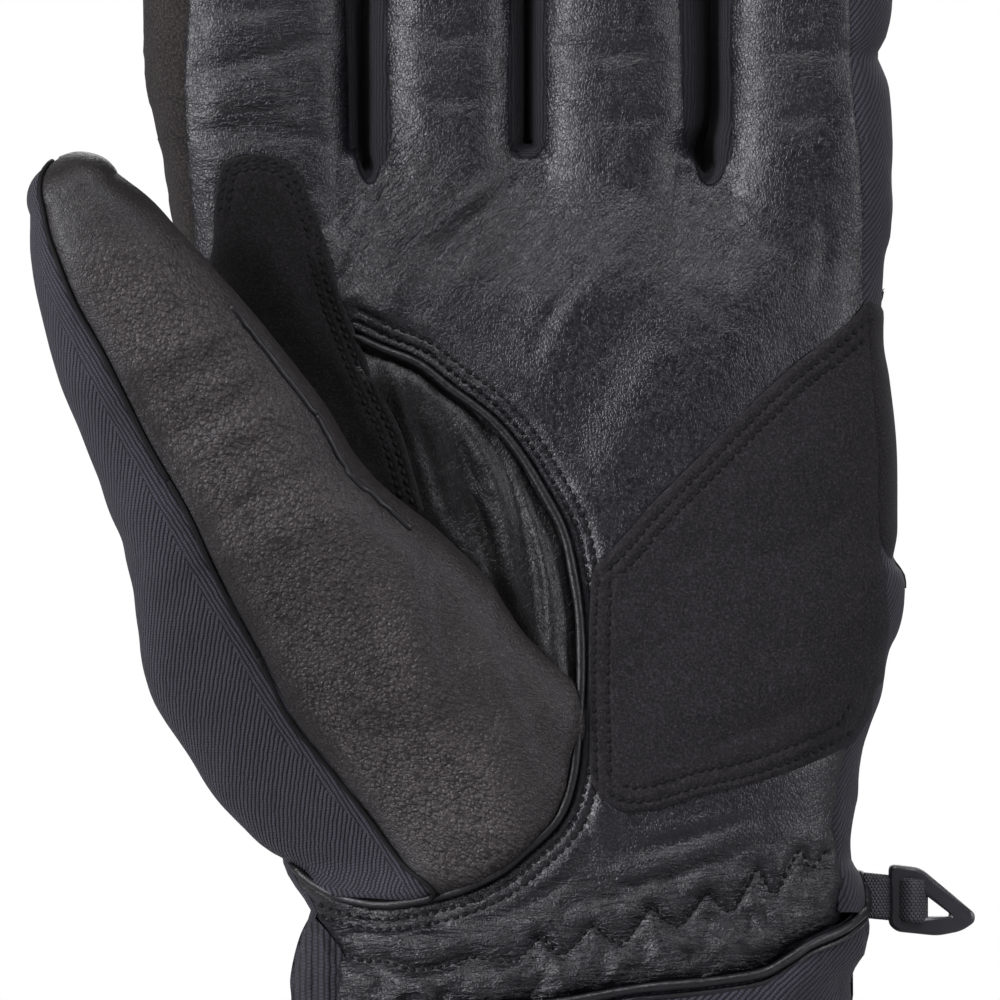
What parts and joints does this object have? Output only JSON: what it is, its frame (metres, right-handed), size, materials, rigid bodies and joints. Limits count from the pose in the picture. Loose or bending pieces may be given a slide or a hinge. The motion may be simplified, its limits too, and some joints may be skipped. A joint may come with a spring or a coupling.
{
  "type": "ski glove",
  "caption": "Insulated five-finger ski glove with leather palm, suede patches, twill back, wrist strap and side clip, standing on its cuff.",
  "frame": {"origin": "centre of the cuff's hem, on the plane the hem rests on", "axes": "+Z from the cuff to the fingertips, -Y the way the palm faces, -X towards the thumb"},
  "size_m": [0.1565, 0.0843, 0.29],
  "materials": {
    "leather": "fine-grained goat leather, semi-matt",
    "suede": "brushed suede-like reinforcement, matt",
    "twill": "stretch twill weave with a slight navy tint",
    "rib_knit": "fine rib knit",
    "lining": "brushed fleece lining",
    "insulation": "fibre fill",
    "elastic": "flat sewn elastic",
    "binding": "woven edge binding",
    "loop_pile": "loop pile",
    "hook_plastic": "moulded hooks",
    "webbing": "narrow woven webbing",
    "clip_plastic": "satin moulded plastic"
  },
  "bodies": {
    "root": {"palm_leather": "leather", "back_fabric": "twill", "ulnar_side_panel": "twill", "finger_crotches": "rib_knit", "palm_patch": "suede", "thumb_crotch_patch": "suede", "thumb_welt": "leather", "knuckle_pad": "twill", "hand_insulation": "insulation", "hand_lining": "lining", "wrist_elastic": "elastic", "cuff_fabric": "twill", "cuff_piping": "leather", "hem_binding": "binding", "strap_loop_pad": "loop_pile", "thenar_leather": "leather", "thenar_fabric": "twill", "thenar_liner": "lining"},
    "thumb_lower": {"thumb_leather_lower": "leather", "thumb_fabric_lower": "twill", "thumb_liner_lower": "lining"},
    "thumb_upper": {"thumb_leather_upper": "leather", "thumb_fabric_upper": "twill", "thumb_liner_upper": "lining"},
    "index_lower": {"index_leather_lower": "leather", "index_fabric_lower": "twill", "index_sides_lower": "rib_knit", "index_liner_lower": "lining"},
    "index_upper": {"index_leather_upper": "leather", "index_fabric_upper": "twill", "index_sides_upper": "rib_knit", "index_liner_upper": "lining"},
    "middle_lower": {"middle_leather_lower": "leather", "middle_fabric_lower": "twill", "middle_sides_lower": "rib_knit", "middle_liner_lower": "lining"},
    "middle_upper": {"middle_leather_upper": "leather", "middle_fabric_upper": "twill", "middle_sides_upper": "rib_knit", "middle_liner_upper": "lining"},
    "ring_lower": {"ring_leather_lower": "leather", "ring_fabric_lower": "twill", "ring_sides_lower": "rib_knit", "ring_liner_lower": "lining"},
    "ring_upper": {"ring_leather_upper": "leather", "ring_fabric_upper": "twill", "ring_sides_upper": "rib_knit", "ring_liner_upper": "lining"},
    "little_lower": {"little_leather_lower": "leather", "little_fabric_lower": "twill", "little_sides_lower": "rib_knit", "little_liner_lower": "lining"},
    "little_upper": {"little_leather_upper": "leather", "little_fabric_upper": "twill", "little_sides_upper": "rib_knit", "little_liner_upper": "lining"},
    "strap": {"wrist_strap": "leather", "strap_hook_pad": "hook_plastic"},
    "web": {"webbing_loop": "webbing"},
    "clip": {"clip": "clip_plastic"}
  },
  "joints": [
    {"name": "index_base_flex", "type": "hinge", "parent": "root", "child": "index_lower", "pos_m": [-0.0532, 0, 0.203], "axis": [1, 0, 0], "range_deg": [0, 45], "stiffness_Nm_per_rad": 0.12},
    {"name": "index_mid_flex", "type": "hinge", "parent": "index_lower", "child": "index_upper", "pos_m": [-0.0532, 0, 0.246], "axis": [1, 0, 0], "range_deg": [0, 60], "stiffness_Nm_per_rad": 0.06},
    {"name": "middle_base_flex", "type": "hinge", "parent": "root", "child": "middle_lower", "pos_m": [-0.0209, 0, 0.203], "axis": [1, 0, 0], "range_deg": [0, 45], "stiffness_Nm_per_rad": 0.12},
    {"name": "middle_mid_flex", "type": "hinge", "parent": "middle_lower", "child": "middle_upper", "pos_m": [-0.0209, 0, 0.25], "axis": [1, 0, 0], "range_deg": [0, 60], "stiffness_Nm_per_rad": 0.06},
    {"name": "ring_base_flex", "type": "hinge", "parent": "root", "child": "ring_lower", "pos_m": [0.0077, 0, 0.203], "axis": [1, 0, 0], "range_deg": [0, 45], "stiffness_Nm_per_rad": 0.12},
    {"name": "ring_mid_flex", "type": "hinge", "parent": "ring_lower", "child": "ring_upper", "pos_m": [0.0077, 0, 0.248], "axis": [1, 0, 0], "range_deg": [0, 60], "stiffness_Nm_per_rad": 0.06},
    {"name": "little_base_flex", "type": "hinge", "parent": "root", "child": "little_lower", "pos_m": [0.0389, 0, 0.203], "axis": [1, 0, 0], "range_deg": [0, 45], "stiffness_Nm_per_rad": 0.12},
    {"name": "little_mid_flex", "type": "hinge", "parent": "little_lower", "child": "little_upper", "pos_m": [0.0389, 0, 0.238], "axis": [1, 0, 0], "range_deg": [0, 60], "stiffness_Nm_per_rad": 0.06},
    {"name": "thumb_base_flex", "type": "hinge", "parent": "root", "child": "thumb_lower", "pos_m": [-0.048, -0.025, 0.133], "axis": [0.9062, 0, 0.4229], "range_deg": [0, 30], "stiffness_Nm_per_rad": 0.12},
    {"name": "thumb_mid_flex", "type": "hinge", "parent": "thumb_lower", "child": "thumb_upper", "pos_m": [-0.06458, -0.0329, 0.16853], "axis": [0.9062, 0, 0.4229], "range_deg": [0, 40], "stiffness_Nm_per_rad": 0.06},
    {"name": "strap_open", "type": "hinge", "parent": "root", "child": "strap", "pos_m": [-0.043, 0.0175, 0.07], "axis": [0, 0, 1], "range_deg": [0, 100]},
    {"name": "web_swing", "type": "hinge", "parent": "root", "child": "web", "pos_m": [0.0506, 0.002, 0.081], "axis": [0, 0, 1], "range_deg": [-45, 45]},
    {"name": "clip_swing", "type": "hinge", "parent": "web", "child": "clip", "pos_m": [0.057, 0.002, 0.081], "axis": [0, 0, 1], "range_deg": [-60, 60]}
  ]
}
